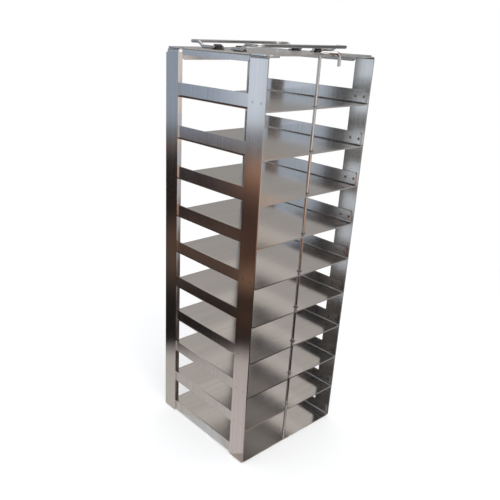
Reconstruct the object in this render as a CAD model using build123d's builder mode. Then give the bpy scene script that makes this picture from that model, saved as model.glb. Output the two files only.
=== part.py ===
# Chest-freezer storage rack for ten tiers of shallow sample boxes.
#
# A tall open tower of bent stainless sheet: ten channel shelves stand between
# four uprights under a flanged top plate. Two wire bail handles lie folded on
# the top plate, and one long wire rod drops through a hole in every shelf, so
# that the boxes can't slide out of the open front.
#
# Millimetres, +Z up. The origin is on the floor, under the middle of the rack.
# The open front faces -Y.

from build123d import *
import os

# ---------------------------------------------------------------- driving sizes
WIDTH = 140.0
DEPTH = 140.0
TIERS = 10
PITCH = 40.0
HEIGHT = 405.0
SHEET = 1.2
BEND = 1.2

UPRIGHT_WIDTH = 21.0
BACK_FLANGE = 20.0
STRAP_FROM_SIDE = 10.5
TAB_LENGTH = 13.0
TAB_RELIEF = 4.0
FOOT_ROUND = 1.5

SHELF_FLANGE = 13.5
SHELF_SETBACK = 2.5
SHELF_CORNER = 1.5

TOP_SIDE_FLANGE = 6.5
TOP_BACK_FLANGE = 12.5
TOP_RELIEF = 0.8
TOP_BACK_GAP = 6.0
TOP_CORNER = 5.0
FLANGE_END_CHAMFER = 1.5
TOP_EDGE_INSET = 0.8

WIRE = 3.0
WIRE_TIP = 0.5
REST_GAP = 0.35

LOCK_X = 0.0
LOCK_FROM_FRONT = 7.0
LOCK_HOLE = 6.0
LOCK_SEAT = 4.0
LOCK_TIP_GAP = 0.4
LOCK_BEND = 3.5
HOOK_REACH_X = 14.5
HOOK_REACH_Y = 10.0
HOOK_TAIL = 11.0

HINGE_Y = 15.0
ARM_X = 59.0
GRIP_Y = 46.0
GRIP_RISE = 4.0
JOGGLE_START = 26.0
JOGGLE_END = 32.0
GRIP_CORNER = 6.0
PIN_LENGTH = 14.0

CLIP_SHEET = 1.0
CLIP_WIDTH = 7.0
CLIP_FOOT = 4.0
CLIP_CORNER = 1.2
PIN_FIT = 0.08
CLIP_FROM_ARM = 4.5

# ---------------------------------------------------------------- worked out
OUTER_BEND = BEND + SHEET
TOP_UNDERSIDE = HEIGHT - SHEET
SIDE_X = WIDTH / 2
BACK_Y = DEPTH / 2
FRONT_Y = -DEPTH / 2
INNER_X = SIDE_X - SHEET
SHELF_BACK_Y = BACK_Y - SHEET
WIRE_R = WIRE / 2
AXIS_Z = HEIGHT + REST_GAP + WIRE_R
STRAP_X = SIDE_X - STRAP_FROM_SIDE - UPRIGHT_WIDTH
LOCK_Y = FRONT_Y + LOCK_FROM_FRONT

os.makedirs("parts", exist_ok=True)


def save(part, label):
    """Names a finished piece and writes it as its own file."""
    part.label = label
    export_step(part, f"parts/{label}.step")


# ---------------------------------------------------------------- shelves
def make_shelf(floor_z, rod_hole):
    """A channel: a flat tray with a flange bent up along each side, open at front and back."""
    with BuildPart() as shelf:
        with BuildSketch(Plane.XZ.offset(-SHELF_BACK_Y)):
            with BuildLine():
                FilletPolyline(
                    (-INNER_X, floor_z + SHELF_FLANGE),
                    (-INNER_X, floor_z),
                    (INNER_X, floor_z),
                    (INNER_X, floor_z + SHELF_FLANGE),
                    radius=OUTER_BEND,
                )
                offset(amount=SHEET, side=Side.LEFT)
            make_face()
        extrude(amount=DEPTH - SHEET)
        # The flanges stop a little short of the tray's front edge, with their corners cut off.
        with BuildSketch(Plane.YZ.offset(-SIDE_X)):
            with Locations((FRONT_Y + SHELF_SETBACK / 2, floor_z + OUTER_BEND + SHELF_FLANGE / 2)):
                Rectangle(SHELF_SETBACK, SHELF_FLANGE)
        extrude(amount=WIDTH, mode=Mode.SUBTRACT)
        # A notch at the back left corner clears the inside of that upright's bend.
        with BuildSketch(Plane.XY.offset(floor_z)):
            with Locations((-INNER_X, SHELF_BACK_Y)):
                Rectangle(2 * OUTER_BEND, 2 * SHELF_SETBACK)
        extrude(amount=SHELF_FLANGE, mode=Mode.SUBTRACT)
        flange_corners = shelf.edges().filter_by(Axis.X).group_by(Axis.Z)[-1]
        chamfer(flange_corners, length=SHELF_CORNER)
        with Locations((LOCK_X, LOCK_Y, floor_z + SHEET)):
            Hole(rod_hole / 2, depth=SHEET)
    return shelf.part


for tier in range(TIERS - 1):
    save(make_shelf((TIERS - 1 - tier) * PITCH, LOCK_HOLE), f"shelf_{tier + 1:02d}")
# The bottom one has a closer hole, which is the seat of the rod's tip.
save(make_shelf(0, LOCK_SEAT), f"shelf_{TIERS:02d}")


# ---------------------------------------------------------------- uprights
def make_front_upright():
    """The left one: a flat strip whose top is bent in under the top plate."""
    with BuildPart() as upright:
        with BuildSketch(Plane.XZ.offset(-FRONT_Y)):
            with BuildLine():
                FilletPolyline(
                    (-SIDE_X, 0),
                    (-SIDE_X, TOP_UNDERSIDE),
                    (-SIDE_X + TAB_LENGTH, TOP_UNDERSIDE),
                    radius=OUTER_BEND,
                )
                offset(amount=SHEET, side=Side.RIGHT)
            make_face()
        extrude(amount=-UPRIGHT_WIDTH)
        fillet(upright.edges().filter_by(Axis.X).group_by(Axis.Z)[0], radius=FOOT_ROUND)
    return upright.part


def make_back_angle():
    """The left one: an angle, with one leg on the rack's side and one across its back."""
    tab_width = UPRIGHT_WIDTH - TAB_RELIEF
    with BuildPart() as upright:
        with BuildSketch(Plane.XY):
            with BuildLine():
                FilletPolyline(
                    (-SIDE_X, BACK_Y - UPRIGHT_WIDTH),
                    (-SIDE_X, BACK_Y),
                    (-SIDE_X + BACK_FLANGE, BACK_Y),
                    radius=OUTER_BEND,
                )
                offset(amount=SHEET, side=Side.RIGHT)
            make_face()
        extrude(amount=TOP_UNDERSIDE - TAB_RELIEF)
        with BuildSketch(Plane.XZ.offset(UPRIGHT_WIDTH - BACK_Y)):
            with BuildLine():
                FilletPolyline(
                    (-SIDE_X, TOP_UNDERSIDE - 2 * TAB_RELIEF),
                    (-SIDE_X, TOP_UNDERSIDE),
                    (-SIDE_X + TAB_LENGTH, TOP_UNDERSIDE),
                    radius=OUTER_BEND,
                )
                offset(amount=SHEET, side=Side.RIGHT)
            make_face()
        extrude(amount=-tab_width)
        fillet(upright.edges().filter_by(Axis.X).group_by(Axis.Z)[0].sort_by(Axis.Y)[0], radius=FOOT_ROUND)
        fillet(upright.edges().filter_by(Axis.Y).group_by(Axis.Z)[0].sort_by(Axis.X)[-1], radius=FOOT_ROUND)
    return upright.part


def make_back_strap():
    """The right one: a flat strip across the shelves' back edges, bent in under the top plate."""
    with BuildPart() as strap:
        with BuildSketch(Plane.YZ.offset(STRAP_X)):
            with BuildLine():
                FilletPolyline(
                    (BACK_Y, 0),
                    (BACK_Y, TOP_UNDERSIDE),
                    (BACK_Y - TAB_LENGTH, TOP_UNDERSIDE),
                    radius=OUTER_BEND,
                )
                offset(amount=SHEET, side=Side.LEFT)
            make_face()
        extrude(amount=UPRIGHT_WIDTH)
        fillet(strap.edges().filter_by(Axis.Y).group_by(Axis.Z)[0], radius=FOOT_ROUND)
    return strap.part


front_left = make_front_upright()
save(front_left, "front_left_upright")
save(mirror(front_left, about=Plane.YZ), "front_right_upright")
save(make_back_angle(), "back_left_upright")
save(make_back_strap(), "back_right_upright")

# ---------------------------------------------------------------- top plate
side_flange_front = FRONT_Y + UPRIGHT_WIDTH + TOP_RELIEF
side_flange_back = BACK_Y - UPRIGHT_WIDTH - TOP_BACK_GAP
side_flange_length = side_flange_back - side_flange_front
back_flange_left = -SIDE_X + BACK_FLANGE + TOP_RELIEF
back_flange_right = STRAP_X - TOP_RELIEF
back_flange_length = back_flange_right - back_flange_left

with BuildPart() as top_plate:
    # Between the uprights a flange is bent down along each side, and a deeper one at the back.
    with BuildSketch(Plane.XZ.offset(-side_flange_front)):
        with BuildLine():
            FilletPolyline(
                (-SIDE_X, HEIGHT - TOP_SIDE_FLANGE),
                (-SIDE_X, HEIGHT),
                (SIDE_X, HEIGHT),
                (SIDE_X, HEIGHT - TOP_SIDE_FLANGE),
                radius=OUTER_BEND,
            )
            offset(amount=SHEET, side=Side.RIGHT)
        make_face()
    extrude(amount=-side_flange_length)
    # Their lower corners are cut off, so that they don't catch a glove.
    chamfer(top_plate.edges().filter_by(Axis.X).group_by(Axis.Z)[0], length=FLANGE_END_CHAMFER)
    with BuildSketch(Plane.YZ.offset(back_flange_left)):
        with BuildLine():
            FilletPolyline(
                (0, HEIGHT),
                (BACK_Y, HEIGHT),
                (BACK_Y, HEIGHT - TOP_BACK_FLANGE),
                radius=OUTER_BEND,
            )
            offset(amount=SHEET, side=Side.RIGHT)
        make_face()
    extrude(amount=back_flange_length)
    chamfer(top_plate.edges().filter_by(Axis.Y).group_by(Axis.Z)[0], length=FLANGE_END_CHAMFER)
    # The flat of the plate lies on the uprights' bent tops, and is notched beside each flange.
    with BuildSketch(Plane.XY.offset(TOP_UNDERSIDE)):
        RectangleRounded(WIDTH - 2 * TOP_EDGE_INSET, DEPTH - 2 * TOP_EDGE_INSET, TOP_CORNER)
        side_flange_middle = (side_flange_front + side_flange_back) / 2
        with Locations((-SIDE_X, side_flange_middle), (SIDE_X, side_flange_middle)):
            Rectangle(2 * OUTER_BEND, side_flange_length + 2 * TOP_RELIEF, mode=Mode.SUBTRACT)
        with Locations(((back_flange_left + back_flange_right) / 2, BACK_Y)):
            Rectangle(back_flange_length + 2 * TOP_RELIEF, 2 * OUTER_BEND, mode=Mode.SUBTRACT)
    extrude(amount=SHEET)
    with Locations((LOCK_X, LOCK_Y, HEIGHT)):
        Hole(LOCK_HOLE / 2, depth=SHEET)
save(top_plate.part, "top_plate")


# ---------------------------------------------------------------- handles
def add_wire(path, corners=Transition.TRANSFORMED):
    """Sweeps the wire's round section along a path, inside the part that is being built."""
    with BuildSketch(Plane(path @ 0, z_dir=path % 0)) as section:
        Circle(WIRE_R)
    sweep(section.sketch, path=path, transition=corners)


def make_rear_handle():
    """A wire bail, folded towards the back: a raised grip, joggled arms and turned-in pins."""
    grip_z = AXIS_Z + GRIP_RISE
    grip_start = JOGGLE_END + WIRE
    with BuildPart() as handle:
        with BuildLine() as grip:
            FilletPolyline(
                (-ARM_X, grip_start, grip_z),
                (-ARM_X, GRIP_Y, grip_z),
                (ARM_X, GRIP_Y, grip_z),
                (ARM_X, grip_start, grip_z),
                radius=GRIP_CORNER,
            )
        add_wire(grip.line)
        for side in (-1, 1):
            with BuildLine() as arm:
                Polyline(
                    (side * (ARM_X - PIN_LENGTH), HINGE_Y, AXIS_Z),
                    (side * ARM_X, HINGE_Y, AXIS_Z),
                    (side * ARM_X, JOGGLE_START, AXIS_Z),
                    (side * ARM_X, JOGGLE_END, grip_z),
                    (side * ARM_X, grip_start, grip_z),
                )
            add_wire(arm.line, Transition.RIGHT)
    return handle.part


rear_handle = make_rear_handle()
save(rear_handle, "rear_handle")
save(mirror(rear_handle, about=Plane.XZ), "front_handle")


# ---------------------------------------------------------------- hinge clips
def make_hinge_clip(x, y):
    """A saddle of thin strip, spot-welded to the top plate over a handle's pin."""
    arch_r = WIRE_R + PIN_FIT + CLIP_SHEET
    foot_end = arch_r + CLIP_FOOT
    with BuildPart() as clip:
        with BuildSketch(Plane.YZ.offset(x - CLIP_WIDTH / 2)):
            with Locations((y, AXIS_Z)):
                Circle(arch_r)
            with Locations((y, (HEIGHT + AXIS_Z) / 2)):
                Rectangle(2 * arch_r, AXIS_Z - HEIGHT)
            with Locations((y, HEIGHT + CLIP_SHEET / 2)):
                Rectangle(2 * foot_end, CLIP_SHEET)
            with Locations((y, AXIS_Z)):
                Circle(WIRE_R + PIN_FIT, mode=Mode.SUBTRACT)
            with Locations((y, (HEIGHT + AXIS_Z) / 2)):
                Rectangle(2 * (WIRE_R + PIN_FIT), AXIS_Z - HEIGHT, mode=Mode.SUBTRACT)
            with Locations((y, HEIGHT - arch_r)):
                Rectangle(2 * foot_end, 2 * arch_r, mode=Mode.SUBTRACT)
        extrude(amount=CLIP_WIDTH)
        upright_edges = clip.edges().filter_by(Axis.Z)
        foot_corners = upright_edges.group_by(Axis.Y)[0] + upright_edges.group_by(Axis.Y)[-1]
        chamfer(foot_corners, length=CLIP_CORNER)
    return clip.part


clip_x = ARM_X - CLIP_FROM_ARM - CLIP_WIDTH / 2
save(make_hinge_clip(-clip_x, HINGE_Y), "rear_left_hinge_clip")
save(make_hinge_clip(clip_x, HINGE_Y), "rear_right_hinge_clip")
save(make_hinge_clip(-clip_x, -HINGE_Y), "front_left_hinge_clip")
save(make_hinge_clip(clip_x, -HINGE_Y), "front_right_hinge_clip")

# ---------------------------------------------------------------- locking rod
hook_x = LOCK_X + HOOK_REACH_X
hook_y = LOCK_Y - HOOK_REACH_Y

with BuildPart() as locking_rod:
    with BuildLine() as rod_line:
        FilletPolyline(
            (LOCK_X, LOCK_Y, LOCK_TIP_GAP),
            (LOCK_X, LOCK_Y, AXIS_Z),
            (hook_x, hook_y, AXIS_Z),
            (hook_x, hook_y, AXIS_Z - HOOK_TAIL),
            radius=LOCK_BEND,
        )
    add_wire(rod_line.line)
    chamfer(locking_rod.edges().filter_by(GeomType.CIRCLE).group_by(Axis.Z)[0], length=WIRE_TIP)
save(locking_rod.part, "locking_rod")
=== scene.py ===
# %% [markdown]
# # A chest-freezer rack in brushed stainless steel
# The rack is a tower of bent sheet: ten channel shelves between four uprights, a flanged top plate,
# two folding wire handles and a long locking rod. The construction model already holds every one of
# those pieces at its real size, so this lesson is about how they look: how brushed sheet differs from
# drawn wire, where welding leaves its marks, and how a shiny grey thing is lit. Everything is in
# metres.

# %% Load the construction model as a fixed frame
import math

import bpy
import bmesh
from mathutils import Matrix, Vector

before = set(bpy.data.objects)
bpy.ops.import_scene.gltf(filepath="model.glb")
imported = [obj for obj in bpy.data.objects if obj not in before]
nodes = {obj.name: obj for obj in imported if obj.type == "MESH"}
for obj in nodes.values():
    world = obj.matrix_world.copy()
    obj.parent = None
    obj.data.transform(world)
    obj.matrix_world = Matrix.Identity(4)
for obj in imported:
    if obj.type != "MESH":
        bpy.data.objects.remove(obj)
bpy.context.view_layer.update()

# %% [markdown]
# ## The camera
# A picture of a tall rack needs a camera that stands at its front left corner, a little above the top
# tier, so that the side, the open front and every shelf can be seen. Bearing, height and tilt are
# named here as angles, because that is how a photographer would set a tripod; the three axes of the
# camera are then worked out from them. The small shift stands for a frame cut a little off centre.

# %% Camera
TIER_PITCH = 0.040
BEARING = math.radians(-41.70)
LOOK_DOWN = math.radians(22.93)
TILT = math.radians(2.50)
STAND = Vector((-10.51, -10.545, 10.596)) * TIER_PITCH
LENS = 42.35
SENSOR = 36.0
SHIFT_X = 0.052
SHIFT_Y = 0.052
CLIP_START = 0.01


def camera_axes(bearing, look_down, tilt):
    """Right, up and backward axes of a camera that looks at the rack from that bearing."""
    back = Vector((
        math.sin(bearing) * math.cos(look_down),
        -math.cos(bearing) * math.cos(look_down),
        math.sin(look_down),
    ))
    level_right = (-back).cross(Vector((0, 0, 1))).normalized()
    level_up = level_right.cross(-back)
    right = math.cos(tilt) * level_right + math.sin(tilt) * level_up
    up = -math.sin(tilt) * level_right + math.cos(tilt) * level_up
    return right, up, back


def add_camera():
    data = bpy.data.cameras.new("camera")
    data.lens = LENS
    data.sensor_width = SENSOR
    data.shift_x = SHIFT_X
    data.shift_y = SHIFT_Y
    data.clip_start = CLIP_START
    camera = bpy.data.objects.new("camera", data)
    bpy.context.scene.collection.objects.link(camera)
    axes = Matrix(camera_axes(BEARING, LOOK_DOWN, TILT)).transposed().to_4x4()
    camera.matrix_world = Matrix.Translation(STAND) @ axes
    bpy.context.scene.camera = camera


add_camera()
bpy.context.scene.view_settings.view_transform = "Standard"
print("camera at", [round(c, 3) for c in STAND])

# %% [markdown]
# ## Helpers for node trees
# Every material below is a small tree of nodes. These few functions make the nodes that keep coming
# back: an empty material, a sum, a blend of two colours, a ramp of colours, and a range that is
# stretched to 0 and 1.

# %% Node helpers
def new_material(name):
    """An empty node material, with its tree and its output."""
    material = bpy.data.materials.new(name)
    material.use_nodes = True
    tree = material.node_tree
    tree.nodes.clear()
    return material, tree, tree.nodes.new("ShaderNodeOutputMaterial")


def math_node(tree, operation, first, second=None, third=None, clamp=False):
    """A Math node with links or plain numbers on its sockets."""
    node = tree.nodes.new("ShaderNodeMath")
    node.operation = operation
    node.use_clamp = clamp
    for slot, value in enumerate((first, second, third)):
        if value is None:
            continue
        if isinstance(value, (int, float)):
            node.inputs[slot].default_value = value
        else:
            tree.links.new(value, node.inputs[slot])
    return node.outputs[0]


def colour_mix(tree, fac, first, second):
    """The first colour where fac is 0 and the second where it is 1."""
    node = tree.nodes.new("ShaderNodeMix")
    node.data_type = "RGBA"
    for name, value in (("Factor", fac), ("A", first), ("B", second)):
        socket = [i for i in node.inputs if i.name == name and i.enabled][0]
        if isinstance(value, tuple):
            socket.default_value = value
        else:
            tree.links.new(value, socket)
    return [o for o in node.outputs if o.enabled][0]


def ramp_node(tree, value, stops):
    """A colour ramp through (position, colour) stops."""
    node = tree.nodes.new("ShaderNodeValToRGB")
    ramp = node.color_ramp
    while len(ramp.elements) < len(stops):
        ramp.elements.new(0.5)
    for element, (position, colour) in zip(ramp.elements, stops):
        element.position = position
        element.color = (*colour, 1)
    tree.links.new(value, node.inputs["Fac"])
    return node.outputs["Color"]


def between(tree, value, low, high):
    """0 at low and 1 at high, held beyond them."""
    node = tree.nodes.new("ShaderNodeMapRange")
    node.inputs["From Min"].default_value = low
    node.inputs["From Max"].default_value = high
    tree.links.new(value, node.inputs["Value"])
    return node.outputs["Result"]


print("node helpers ready")

# %% [markdown]
# ## Helpers for places
# The floor and the cards are coloured by where they are: by their distance from the rack's middle, by
# their bearing from it, or by their height. The last helper clears the selection before a primitive
# is added, so that no older object is still selected when its shape is edited.

# %% Place helpers
def place_parts(tree, vector):
    """The X, Y and Z of a vector."""
    split = tree.nodes.new("ShaderNodeSeparateXYZ")
    tree.links.new(vector, split.inputs[0])
    return split.outputs["X"], split.outputs["Y"], split.outputs["Z"]


def object_place(tree):
    return tree.nodes.new("ShaderNodeTexCoord").outputs["Object"]


def flat_distance(tree):
    """Distance from the rack's middle, measured on the floor."""
    x, y = place_parts(tree, object_place(tree))[:2]
    squares = math_node(tree, "MULTIPLY_ADD", x, x, math_node(tree, "MULTIPLY", y, y))
    return math_node(tree, "SQRT", squares)


def turn_from_x(tree, vector):
    """Bearing of a place in degrees, from +X towards +Y."""
    x, y = place_parts(tree, vector)[:2]
    return math_node(tree, "MULTIPLY", math_node(tree, "ARCTAN2", y, x), math.degrees(1))


def deselect():
    if bpy.context.object and bpy.context.object.mode != "OBJECT":
        bpy.ops.object.mode_set(mode="OBJECT")
    bpy.ops.object.select_all(action="DESELECT")


print("place helpers ready")

# %% [markdown]
# ## The floor
# A bench top of pale laminate under the rack. Close to the rack it is an ordinary diffuse surface,
# which keeps the soft shadow. Further out it passes smoothly into plain white, but only where the
# camera looks straight at it, so the steel gets no more light from it than from any pale floor.

# %% Floor
FLOOR_RADIUS = 8.0
FLOOR_SIDES = 64
FLOOR_DROP = 0.0004
FLOOR_COLOUR = (0.93, 0.93, 0.93, 1)
FLOOR_LIFT = 0.30
SHADOW_INNER = 0.25
SHADOW_OUTER = 0.75
WHITE = (1, 1, 1, 1)


def make_floor_material():
    material, tree, out = new_material("pale_floor")
    bsdf = tree.nodes.new("ShaderNodeBsdfDiffuse")
    bsdf.inputs["Color"].default_value = FLOOR_COLOUR
    path = tree.nodes.new("ShaderNodeLightPath")
    for_camera = path.outputs["Is Camera Ray"]
    lift = tree.nodes.new("ShaderNodeEmission")
    lift.inputs["Color"].default_value = WHITE
    tree.links.new(math_node(tree, "MULTIPLY", for_camera, FLOOR_LIFT), lift.inputs["Strength"])
    near = tree.nodes.new("ShaderNodeAddShader")
    tree.links.new(bsdf.outputs[0], near.inputs[0])
    tree.links.new(lift.outputs[0], near.inputs[1])
    white = tree.nodes.new("ShaderNodeEmission")
    white.inputs["Color"].default_value = WHITE
    far = between(tree, flat_distance(tree), SHADOW_INNER, SHADOW_OUTER)
    mix = tree.nodes.new("ShaderNodeMixShader")
    tree.links.new(math_node(tree, "MULTIPLY", far, for_camera), mix.inputs["Fac"])
    tree.links.new(near.outputs[0], mix.inputs[1])
    tree.links.new(white.outputs[0], mix.inputs[2])
    tree.links.new(mix.outputs[0], out.inputs["Surface"])
    return material


deselect()
bpy.ops.mesh.primitive_circle_add(
    vertices=FLOOR_SIDES, radius=FLOOR_RADIUS, fill_type="NGON", location=(0, 0, -FLOOR_DROP)
)
floor = bpy.context.object
floor.name = "floor"
floor.data.materials.append(make_floor_material())
print("floor radius", FLOOR_RADIUS)

# %% [markdown]
# ## The room
# A bright laboratory. The camera sees plain white behind the rack, diffuse surfaces get an even fill,
# and metal mirrors a room that is a little greyer at eye level than overhead. One world can be all
# three, because Light Path tells which kind of ray is asking.

# %% World
FILL = (0.97, 0.98, 1.0, 1)
FILL_STRENGTH = 0.75
SKY_LOW = (0.50, 0.54, 0.60)
SKY_HIGH = (0.93, 0.96, 1.0)
SKY_SPAN = (-0.05, 0.55)


def add_world():
    """White for the camera, a grey room for metal, and an even fill for the rest."""
    world = bpy.data.worlds.new("studio")
    bpy.context.scene.world = world
    world.use_nodes = True
    tree = world.node_tree
    tree.nodes.clear()
    out = tree.nodes.new("ShaderNodeOutputWorld")
    path = tree.nodes.new("ShaderNodeLightPath")
    fill = tree.nodes.new("ShaderNodeBackground")
    fill.inputs["Color"].default_value = FILL
    fill.inputs["Strength"].default_value = FILL_STRENGTH
    direction = tree.nodes.new("ShaderNodeTexCoord").outputs["Generated"]
    height = between(tree, place_parts(tree, direction)[2], *SKY_SPAN)
    room = tree.nodes.new("ShaderNodeBackground")
    sky = ramp_node(tree, height, ((0.0, SKY_LOW), (1.0, SKY_HIGH)))
    tree.links.new(sky, room.inputs["Color"])
    white = tree.nodes.new("ShaderNodeBackground")
    white.inputs["Color"].default_value = WHITE
    metal = tree.nodes.new("ShaderNodeMixShader")
    tree.links.new(path.outputs["Is Glossy Ray"], metal.inputs["Fac"])
    tree.links.new(fill.outputs[0], metal.inputs[1])
    tree.links.new(room.outputs[0], metal.inputs[2])
    mix = tree.nodes.new("ShaderNodeMixShader")
    tree.links.new(path.outputs["Is Camera Ray"], mix.inputs["Fac"])
    tree.links.new(metal.outputs[0], mix.inputs[1])
    tree.links.new(white.outputs[0], mix.inputs[2])
    tree.links.new(mix.outputs[0], out.inputs["Surface"])


add_world()
print("world:", bpy.context.scene.world.name)

# %% [markdown]
# ## The lamp
# One large soft lamp, high at the front left, like a window or a softbox. It is kept weak: a lamp can
# only add a highlight to polished metal, and the soft shadow on the floor needs little light.

# %% Lamp
LAMP_SIZE = 1.6
LAMP_POWER = 14.0
LAMP_PLACE = Vector((-0.6, -1.4, 1.95))
LAMP_AIM = Vector((0, 0, 0.2))


def add_lamp():
    data = bpy.data.lights.new("softbox", "AREA")
    data.shape = "SQUARE"
    data.size = LAMP_SIZE
    data.energy = LAMP_POWER
    lamp = bpy.data.objects.new("softbox", data)
    bpy.context.scene.collection.objects.link(lamp)
    lamp.location = LAMP_PLACE
    lamp.rotation_euler = (LAMP_AIM - LAMP_PLACE).to_track_quat("-Z", "Y").to_euler()


add_lamp()
print("lamp power", LAMP_POWER)

# %% [markdown]
# ## Cards round the table
# Bright metal has no colour of its own to speak of: it shows what stands round it. In an empty white
# room it would all but vanish, so a photographer stands cards about, just out of the picture. Flat
# cards are rings cut to a sector, and walls are open cylinders cut the same way. Each card shows in
# reflections only, so it throws neither light nor shade on the floor.

# %% Card helpers
CARD_SIDES = 180
CARD_LIFT = 0.0006
TABLE_INNER = 0.075
TABLE_OUTER = 2.2
WALL_RADIUS = 2.3
WALL_HEIGHT = 3.0


def only_in_reflections(card):
    """A card that the metal mirrors, and that neither shades the floor nor shows in a picture."""
    card.visible_camera = False
    card.visible_diffuse = False
    card.visible_shadow = False
    card.visible_transmission = False


def glow_material(name, paint):
    """A material that only glows, in the colour that paint(tree) works out."""
    material, tree, out = new_material(name)
    glow = tree.nodes.new("ShaderNodeEmission")
    tree.links.new(paint(tree), glow.inputs["Color"])
    tree.links.new(glow.outputs[0], out.inputs["Surface"])
    return material


def keep_sector(card, start, end):
    """Deletes the faces of a card that lie outside a sector, given in degrees from +X."""
    bpy.ops.object.mode_set(mode="EDIT")
    bpy.ops.mesh.select_mode(type="FACE")
    bpy.ops.mesh.select_all(action="DESELECT")
    shape = bmesh.from_edit_mesh(card.data)
    for face in shape.faces:
        middle = face.calc_center_median()
        turn = math.degrees(math.atan2(middle.y, middle.x))
        face.select_set((turn - start) % 360 > end - start)
    bmesh.update_edit_mesh(card.data)
    bpy.ops.mesh.delete(type="FACE")
    bpy.ops.object.mode_set(mode="OBJECT")


def add_flat_card(name, inner, outer, sector, material):
    """Part of a flat ring on the floor."""
    deselect()
    bpy.ops.mesh.primitive_circle_add(
        vertices=CARD_SIDES, radius=outer, fill_type="NGON", location=(0, 0, CARD_LIFT)
    )
    card = bpy.context.object
    card.name = name
    bpy.ops.object.mode_set(mode="EDIT")
    bpy.ops.mesh.select_all(action="SELECT")
    bpy.ops.mesh.inset(thickness=outer - inner)
    bpy.ops.mesh.delete(type="FACE")
    bpy.ops.object.mode_set(mode="OBJECT")
    keep_sector(card, *sector)
    card.data.materials.append(material)
    only_in_reflections(card)
    return card


def add_wall_card(name, sector, material):
    """Part of a round wall that stands on the floor."""
    deselect()
    bpy.ops.mesh.primitive_cylinder_add(
        vertices=CARD_SIDES, radius=WALL_RADIUS, depth=WALL_HEIGHT, end_fill_type="NOTHING",
        location=(0, 0, WALL_HEIGHT / 2),
    )
    card = bpy.context.object
    card.name = name
    bpy.ops.object.transform_apply()
    keep_sector(card, *sector)
    card.data.materials.append(material)
    only_in_reflections(card)
    return card


def bands(tree, value, start, end, stops):
    """Colours at values between start and end, smoothly blended from one to the next."""
    return ramp_node(
        tree, between(tree, value, start, end),
        [((at - start) / (end - start), colour) for at, colour in stops],
    )


print("walls at", WALL_RADIUS, "and", WALL_HEIGHT, "high")

# %% [markdown]
# ## The brown bench
# The left side of the rack mirrors what lies behind it on the left: a brown bench with a
# copper-coloured edge. Low on the rack the mirror line meets the bench close by, high on the rack far
# away, so bands across the bench turn into bands up the steel: pale at the foot, nearly black above
# it, then brown, copper and at last the grey of the wall. The front upright looks along the near
# boards and the back one along the far boards, which are darker; the boards fan out from one point,
# so a bearing taken from that point tells them apart.

# %% Brown bench behind the left side
BENCH_SECTOR = (98, 216)
BENCH_INNER = 0.08
BENCH_OUTER = 2.3
BENCH_NEAR = (
    (0.08, (0.66, 0.59, 0.56)),
    (0.225, (0.57, 0.50, 0.47)),
    (0.270, (0.018, 0.013, 0.012)),
    (0.35, (0.070, 0.038, 0.024)),
    (0.42, (0.032, 0.022, 0.018)),
    (0.50, (0.260, 0.145, 0.092)),
    (0.60, (0.090, 0.042, 0.028)),
    (0.90, (0.058, 0.032, 0.025)),
    (1.12, (0.160, 0.076, 0.055)),
    (1.35, (0.470, 0.245, 0.150)),
    (1.55, (0.400, 0.250, 0.190)),
    (1.74, (0.230, 0.215, 0.215)),
    (2.25, (0.300, 0.340, 0.400)),
)
BENCH_FAR = (
    (0.08, (0.58, 0.54, 0.51)),
    (0.205, (0.52, 0.48, 0.455)),
    (0.250, (0.014, 0.011, 0.010)),
    (0.40, (0.022, 0.017, 0.015)),
    (0.55, (0.100, 0.066, 0.050)),
    (0.72, (0.100, 0.060, 0.045)),
    (0.90, (0.024, 0.016, 0.013)),
    (1.56, (0.018, 0.015, 0.014)),
    (1.72, (0.140, 0.090, 0.070)),
    (1.85, (0.130, 0.104, 0.100)),
    (2.25, (0.240, 0.270, 0.320)),
)
FAN_POINT = (0.28, -0.42, 0)
FAN_TURNS = (132.6, 133.4)


def paint_bench(tree):
    """Bands across the bench, copper on its near boards and nearly black on its far ones."""
    away = flat_distance(tree)
    near, far = (bands(tree, away, 0, BENCH_OUTER, stops) for stops in (BENCH_NEAR, BENCH_FAR))
    fan = tree.nodes.new("ShaderNodeVectorMath")
    fan.operation = "SUBTRACT"
    fan.inputs[1].default_value = FAN_POINT
    tree.links.new(object_place(tree), fan.inputs[0])
    turn = turn_from_x(tree, fan.outputs["Vector"])
    return colour_mix(tree, between(tree, turn, *FAN_TURNS), far, near)


bench = add_flat_card(
    "bench_card", BENCH_INNER, BENCH_OUTER, BENCH_SECTOR, glow_material("brown_bench", paint_bench)
)
print("bench faces", len(bench.data.polygons))

# %% [markdown]
# ## The blue-grey wall
# Daylight from windows beyond the bench gives the top tiers their cool blue-grey. The lower row of
# the wall has a bright window in one place, where the front upright looks; the upper row is for the
# shelves' right flanges, which look higher. Grey curtains above both keep the shelves' upper edges
# from glaring.

# %% Blue-grey wall beyond the bench
BLUE_SECTOR = (98, 172)
BLUE_LOW = (
    (118, (0.36, 0.42, 0.50)),
    (126, (0.34, 0.40, 0.48)),
    (131, (0.31, 0.37, 0.47)),
    (133.5, (0.40, 0.47, 0.59)),
    (135, (0.98, 1.06, 1.18)),
    (137.2, (0.98, 1.06, 1.18)),
    (138.6, (0.42, 0.48, 0.57)),
    (141, (0.22, 0.25, 0.29)),
    (143, (0.80, 0.87, 0.95)),
)
BLUE_HIGH = (
    (118, (0.36, 0.42, 0.50)),
    (135, (0.52, 0.60, 0.70)),
    (141, (0.58, 0.66, 0.76)),
    (143, (1.00, 1.08, 1.18)),
)
BLUE_TURNS = (118, 143)
CURTAIN_COLOUR = (0.190, 0.185, 0.185, 1)
ROW_SPLIT = (0.36, 0.50)
CURTAIN_EDGE = (1.05, 1.35)


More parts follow.
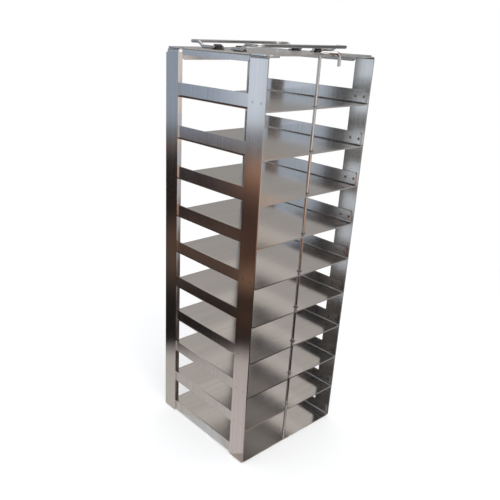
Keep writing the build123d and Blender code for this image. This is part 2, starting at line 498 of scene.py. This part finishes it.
def paint_blue(tree):
    """One row of window light low down, another above it, and grey curtains over both."""
    place = object_place(tree)
    turn = turn_from_x(tree, place)
    height = place_parts(tree, place)[2]
    low, high = (bands(tree, turn, *BLUE_TURNS, stops) for stops in (BLUE_LOW, BLUE_HIGH))
    lit = colour_mix(tree, between(tree, height, *ROW_SPLIT), low, high)
    return colour_mix(tree, between(tree, height, *CURTAIN_EDGE), lit, CURTAIN_COLOUR)


blue_wall = add_wall_card("blue_card", BLUE_SECTOR, glow_material("blue_wall", paint_blue))
print("blue wall faces", len(blue_wall.data.polygons))

# %% [markdown]
# ## The warm wall
# A tray lies flat, so it mirrors what stands behind the rack, and the lower the tray the higher it
# looks. A wall that gets lighter and warmer with height therefore makes the low trays lighter than
# the high ones. Its lowest band is pale blue and catches the tops of the folded handles.

# %% Warm grey wall where the trays look
WARM_SECTOR = (5, 90)
WARM_STOPS = (
    (0.46, (0.62, 0.70, 0.79)),
    (0.54, (0.31, 0.300, 0.295)),
    (0.65, (0.30, 0.285, 0.27)),
    (0.90, (0.38, 0.36, 0.34)),
    (1.15, (0.43, 0.40, 0.38)),
    (1.40, (0.50, 0.465, 0.435)),
    (1.80, (0.56, 0.52, 0.485)),
)


def paint_by_height(stops):
    def paint(tree):
        return bands(tree, place_parts(tree, object_place(tree))[2], 0, WALL_HEIGHT, stops)
    return paint


warm_paint = glow_material("warm_wall", paint_by_height(WARM_STOPS))
warm_wall = add_wall_card("warm_card", WARM_SECTOR, warm_paint)
print("warm wall faces", len(warm_wall.data.polygons))

# %% [markdown]
# ## Table cards
# The inner faces of the uprights and the cut edges look down at the table. A pale warm card with a
# copper band lies at the right and behind, and a plain grey one at the front right, so that the cut
# front edges of the trays stay quiet. Drawn wire is a convex mirror: it squeezes half the room into
# three millimetres. The locking rod picks up the third card, at the front, which is pale at the very
# foot of the rack, then nearly black and copper further out, so the rod gets coppery towards its top.

# %% Table cards: pale, grey and copper
GREY = (0.40, 0.385, 0.37)
TABLE_CARDS = {
    "pale_card": ("pale_table", (-12, 97), (
        (0.95, (0.90, 0.84, 0.79)),
        (1.15, (0.66, 0.41, 0.28)),
        (1.80, (0.66, 0.41, 0.28)),
        (2.10, (0.17, 0.14, 0.13)),
    )),
    "grey_card": ("grey_table", (-50, -12), (
        (TABLE_INNER, GREY),
        (TABLE_OUTER, GREY),
    )),
    "copper_card": ("copper_front", (-144, -50), (
        (0.08, (0.50, 0.43, 0.385)),
        (0.12, (0.30, 0.24, 0.21)),
        (0.15, (0.045, 0.032, 0.026)),
        (0.30, (0.035, 0.024, 0.020)),
        (0.50, (0.060, 0.036, 0.026)),
        (0.80, (0.50, 0.28, 0.19)),
        (1.30, (0.95, 0.64, 0.48)),
        (2.20, (0.98, 0.84, 0.76)),
    )),
}


def paint_by_distance(stops):
    def paint(tree):
        return bands(tree, flat_distance(tree), 0, TABLE_OUTER, stops)
    return paint


for name, (material_name, sector, stops) in TABLE_CARDS.items():
    material = glow_material(material_name, paint_by_distance(stops))
    card = add_flat_card(name, TABLE_INNER, TABLE_OUTER, sector, material)
    print(name, "faces", len(card.data.polygons))

# %% [markdown]
# ## Walls at the front
# Three walls finish the room: a dark one at the front right, which gives the folded handles their
# dark undersides; a pale one before the front, copper higher up, for the back left upright's inner
# leg; and a dark one behind the camera, so that the small cut corners of the flanges don't sparkle.

# %% Walls at the front and behind the camera
FRONT_WALLS = {
    "dark_front": ((-50, 4), (
        (0.10, (0.42, 0.40, 0.385)),
        (0.40, (0.40, 0.385, 0.38)),
        (0.47, (0.080, 0.077, 0.077)),
        (1.60, (0.075, 0.073, 0.075)),
        (2.60, (0.60, 0.62, 0.66)),
    )),
    "pale_front": ((-110, -50), (
        (0.10, (0.90, 0.76, 0.69)),
        (0.40, (0.95, 0.88, 0.86)),
        (0.60, (0.85, 0.88, 0.92)),
        (0.95, (0.80, 0.82, 0.85)),
        (1.15, (0.34, 0.22, 0.16)),
        (2.20, (0.26, 0.17, 0.13)),
        (2.80, (0.80, 0.83, 0.87)),
    )),
    "dark_behind": ((-178, -110), (
        (0.40, (0.50, 0.53, 0.57)),
        (0.90, (0.10, 0.09, 0.085)),
        (1.90, (0.07, 0.065, 0.065)),
        (2.60, (0.80, 0.83, 0.87)),
    )),
}
for name, (sector, stops) in FRONT_WALLS.items():
    wall = add_wall_card(name, sector, glow_material(name, paint_by_height(stops)))
    print(name, "faces", len(wall.data.polygons))

# %% [markdown]
# ## Brushed grain
# The sheet was drawn under an abrasive belt, which leaves fine parallel scratches. They make the steel
# a little rougher and change its grey from line to line. A noise that is squeezed hard across the
# grain and stretched along it looks just like that. It is a node group, because the sheet, the clips
# and the wire all need it, each with its own direction and strength.

# %% Grain group
BROAD_SCALE = 0.06
FINE_DETAIL = 1.0
BROAD_DETAIL = 2.0


def add_group(name, inputs, outputs):
    """An empty node group with named number or vector sockets."""
    group = bpy.data.node_groups.new(name, "ShaderNodeTree")
    for socket, kind, value in inputs:
        made = group.interface.new_socket(socket, in_out="INPUT", socket_type=kind)
        if value is not None:
            made.default_value = value
    for socket in outputs:
        group.interface.new_socket(socket, in_out="OUTPUT", socket_type="NodeSocketFloat")
    return group, group.nodes.new("NodeGroupInput"), group.nodes.new("NodeGroupOutput")


def noise_swing(group, vector, detail, strength):
    """Noise between minus and plus half of the strength."""
    noise = group.nodes.new("ShaderNodeTexNoise")
    noise.inputs["Scale"].default_value = 1.0
    noise.inputs["Detail"].default_value = detail
    group.links.new(vector, noise.inputs["Vector"])
    swing = math_node(group, "SUBTRACT", noise.outputs["Fac"], 0.5)
    return math_node(group, "MULTIPLY", swing, strength)


def make_grain_group():
    group, start, end = add_group(
        "brushed_grain",
        (
            ("Vector", "NodeSocketVector", None),
            ("Fine", "NodeSocketFloat", 1.0),
            ("Broad", "NodeSocketFloat", 1.0),
        ),
        ("Shade",),
    )
    broad_place = group.nodes.new("ShaderNodeVectorMath")
    broad_place.operation = "SCALE"
    broad_place.inputs["Scale"].default_value = BROAD_SCALE
    group.links.new(start.outputs["Vector"], broad_place.inputs[0])
    fine = noise_swing(group, start.outputs["Vector"], FINE_DETAIL, start.outputs["Fine"])
    broad = noise_swing(group, broad_place.outputs[0], BROAD_DETAIL, start.outputs["Broad"])
    shade = math_node(group, "ADD", math_node(group, "ADD", fine, broad), 0.5, clamp=True)
    group.links.new(shade, end.inputs["Shade"])
    return group


grain_group = make_grain_group()
print("grain sockets:", [s.name for s in grain_group.interface.items_tree])

# %% [markdown]
# ## Spot welds
# Every shelf is held to every side upright by two spot welds, which leave small round dimples about
# ten millimetres apart, half way up the shelf's flange, and only faint marks outside. They repeat
# with the tiers, so their centres can be worked out from the place on the rack: the height is folded
# by the tier pitch, and front and back are mirrored. The back right strap has no welds on the sides.

# %% Spot weld group
WELD_RADIUS = 0.0007
WELD_SPACING = 0.0105
WELD_HEIGHT = 0.0072
WELD_FROM_MIDDLE = 0.0598
WELDS_END = 9.5 * TIER_PITCH
OUTSIDE_WELD = 0.14
SIDEWAYS = 0.7
DIMPLE_EDGE = 1.4
RING_MIDDLE = 1.6


def weld_distance(group, y, z):
    """Distance from the nearest weld's centre, in weld radii."""
    along = math_node(group, "SUBTRACT", math_node(group, "ABSOLUTE", y), WELD_FROM_MIDDLE)
    along = math_node(group, "SUBTRACT", math_node(group, "ABSOLUTE", along), WELD_SPACING / 2)
    up = math_node(group, "SUBTRACT", math_node(group, "MODULO", z, TIER_PITCH), WELD_HEIGHT)
    squares = math_node(group, "MULTIPLY_ADD", along, along, math_node(group, "MULTIPLY", up, up))
    return math_node(group, "DIVIDE", math_node(group, "SQRT", squares), WELD_RADIUS)


def weld_strength(group, x, y, z, facing_x):
    """1 on the inner side faces, less on the outer ones, and 0 where nothing is welded."""
    on_side = math_node(group, "GREATER_THAN", math_node(group, "ABSOLUTE", facing_x), SIDEWAYS)
    below_top = math_node(group, "LESS_THAN", z, WELDS_END)
    inside = math_node(group, "LESS_THAN", math_node(group, "MULTIPLY", facing_x, x), 0)
    strength = math_node(group, "MULTIPLY_ADD", inside, 1 - OUTSIDE_WELD, OUTSIDE_WELD)
    at_strap = math_node(
        group, "MULTIPLY",
        math_node(group, "GREATER_THAN", x, 0), math_node(group, "GREATER_THAN", y, 0),
    )
    for factor in (on_side, below_top, math_node(group, "SUBTRACT", 1, at_strap)):
        strength = math_node(group, "MULTIPLY", strength, factor)
    return strength


def make_weld_group():
    group, start, end = add_group(
        "spot_welds",
        (("Vector", "NodeSocketVector", None), ("Normal", "NodeSocketVector", None)),
        ("Mask", "Ring"),
    )
    x, y, z = place_parts(group, start.outputs["Vector"])
    facing_x = place_parts(group, start.outputs["Normal"])[0]
    distance = weld_distance(group, y, z)
    strength = weld_strength(group, x, y, z, facing_x)
    dimple = math_node(group, "SUBTRACT", DIMPLE_EDGE, distance, clamp=True)
    from_ring = math_node(group, "ABSOLUTE", math_node(group, "SUBTRACT", distance, RING_MIDDLE))
    ring = math_node(group, "SUBTRACT", 1.0, from_ring, clamp=True)
    group.links.new(math_node(group, "MULTIPLY", dimple, strength), end.inputs["Mask"])
    group.links.new(math_node(group, "MULTIPLY", ring, strength), end.inputs["Ring"])
    return group


weld_group = make_weld_group()
print("weld sockets:", [s.name for s in weld_group.interface.items_tree])

# %% [markdown]
# ## A metal to start from
# Sheet, wire and clips share the same beginning: a metallic shader, and the grain's shade between 0
# and 1, read from object coordinates that are squeezed across the grain and stretched along it. The
# shade then moves the colour and the roughness up and down a little.

# %% Metal helpers
def put_group(tree, group):
    node = tree.nodes.new("ShaderNodeGroup")
    node.node_tree = group
    return node


def start_metal(name, scale, broad):
    """A metal material with its tree, shader and grain shade."""
    material, tree, out = new_material(name)
    bsdf = tree.nodes.new("ShaderNodeBsdfPrincipled")
    bsdf.inputs["Metallic"].default_value = 1.0
    tree.links.new(bsdf.outputs[0], out.inputs["Surface"])
    squeeze = tree.nodes.new("ShaderNodeMapping")
    squeeze.inputs["Scale"].default_value = scale
    tree.links.new(object_place(tree), squeeze.inputs["Vector"])
    grain = put_group(tree, grain_group)
    grain.inputs["Broad"].default_value = broad
    tree.links.new(squeeze.outputs["Vector"], grain.inputs["Vector"])
    return material, tree, bsdf, grain.outputs["Shade"]


def shade_roughness(tree, bsdf, shade, smooth, rough):
    """Roughness that moves with the grain, from smooth at its dark lines to rough at its light."""
    value = math_node(tree, "MULTIPLY_ADD", shade, rough - smooth, smooth)
    tree.links.new(value, bsdf.inputs["Roughness"])


print("metal helpers ready")

# %% [markdown]
# ## Satin stainless sheet
# The base colour is a mid grey that the grain moves up and down a little. Roughness is low, because a
# brushed sheet still mirrors its neighbours in soft bands, and that mirroring is what makes the
# shelves read as steel. The dimples of the welds are darker and pressed in, with a faint warm ring
# where the metal was hot. The plate, which was handled most, is the roughest of the three.

# %% Sheet material
SHEET_DARK = (0.61, 0.60, 0.59, 1)
SHEET_LIGHT = (0.75, 0.74, 0.73, 1)
SHEET_BROAD = 0.7
SHELF_GRAIN = (6, 500, 12)
UPRIGHT_GRAIN = (500, 500, 8)
PLATE_GRAIN = (8, 500, 500)
SHELF_ROUGHNESS = 0.17
UPRIGHT_ROUGHNESS = 0.13
PLATE_ROUGHNESS = 0.22
ROUGHNESS_SWING = 0.02
RING_COLOUR = (0.34, 0.27, 0.21, 1)
DIMPLE_COLOUR = (0.10, 0.09, 0.085, 1)
DIMPLE_STRENGTH = 0.5
DIMPLE_DEPTH = 0.0003


def make_sheet(name, scale, roughness):
    """Satin sheet whose grain is squeezed by the given scale along each axis."""
    material, tree, bsdf, shade = start_metal(name, scale, SHEET_BROAD)
    place = tree.nodes.new("ShaderNodeTexCoord")
    welds = put_group(tree, weld_group)
    tree.links.new(place.outputs["Object"], welds.inputs["Vector"])
    tree.links.new(place.outputs["Normal"], welds.inputs["Normal"])
    colour = colour_mix(tree, shade, SHEET_DARK, SHEET_LIGHT)
    colour = colour_mix(tree, welds.outputs["Ring"], colour, RING_COLOUR)
    colour = colour_mix(tree, welds.outputs["Mask"], colour, DIMPLE_COLOUR)
    tree.links.new(colour, bsdf.inputs["Base Color"])
    shade_roughness(tree, bsdf, shade, roughness - ROUGHNESS_SWING, roughness + ROUGHNESS_SWING)
    bump = tree.nodes.new("ShaderNodeBump")
    bump.inputs["Strength"].default_value = DIMPLE_STRENGTH
    bump.inputs["Distance"].default_value = DIMPLE_DEPTH
    tree.links.new(math_node(tree, "MULTIPLY", welds.outputs["Mask"], -1), bump.inputs["Height"])
    tree.links.new(bump.outputs["Normal"], bsdf.inputs["Normal"])
    return material


shelf_sheet = make_sheet("satin_shelf_sheet", SHELF_GRAIN, SHELF_ROUGHNESS)
upright_sheet = make_sheet("satin_upright_sheet", UPRIGHT_GRAIN, UPRIGHT_ROUGHNESS)
plate_sheet = make_sheet("satin_plate_sheet", PLATE_GRAIN, PLATE_ROUGHNESS)
print("sheet materials:", shelf_sheet.name, upright_sheet.name, plate_sheet.name)

# %% [markdown]
# ## Drawn wire and clips
# The handles and the rod are stainless wire, drawn through a die, which leaves it brighter and
# smoother than the brushed sheet; one even scale gives it only a faint unevenness. Each saddle clip
# is a thin strip that was bent over a handle's pin and welded down. Its colour is painted nearly
# black: painted shade for the dark undersides below the handles.

# %% Wire and clip materials
PLAIN_BROAD = 1.0
WIRE_COLOURS = ((0.56, 0.55, 0.54, 1), (0.74, 0.73, 0.72, 1))
WIRE_GRAIN = (700, 700, 700)
WIRE_ROUGHNESS = (0.10, 0.16)
# Painted shade: the clips are coloured nearly black for the dark undersides below the handles.
CLIP_SHADE_COLOURS = ((0.06, 0.055, 0.05, 1), (0.16, 0.15, 0.14, 1))
CLIP_GRAIN = (900, 40, 40)
CLIP_ROUGHNESS = (0.20, 0.32)


def make_plain_metal(name, colours, scale, roughness):
    """Metal without welds, bare or with painted shade; the grain moves between two colours."""
    material, tree, bsdf, shade = start_metal(name, scale, PLAIN_BROAD)
    tree.links.new(colour_mix(tree, shade, *colours), bsdf.inputs["Base Color"])
    shade_roughness(tree, bsdf, shade, *roughness)
    return material


wire = make_plain_metal("bright_drawn_wire", WIRE_COLOURS, WIRE_GRAIN, WIRE_ROUGHNESS)
clip = make_plain_metal("clip_strip_painted_shade", CLIP_SHADE_COLOURS, CLIP_GRAIN, CLIP_ROUGHNESS)
print("plain metals:", wire.name, clip.name)

# %% [markdown]
# ## Dressing
# Each piece of the construction model gets the material of its kind. The grain runs along each piece:
# across the rack on shelves and plate, upwards on the uprights.

# %% Dress the construction model
def material_for(name):
    if name.startswith("shelf"):
        return shelf_sheet
    if name.endswith("upright"):
        return upright_sheet
    if name.endswith("clip"):
        return clip
    return plate_sheet if name == "top_plate" else wire


for name in nodes:
    nodes[name].data.materials.clear()
    nodes[name].data.materials.append(material_for(name))
print("dressed", len(nodes), "pieces")
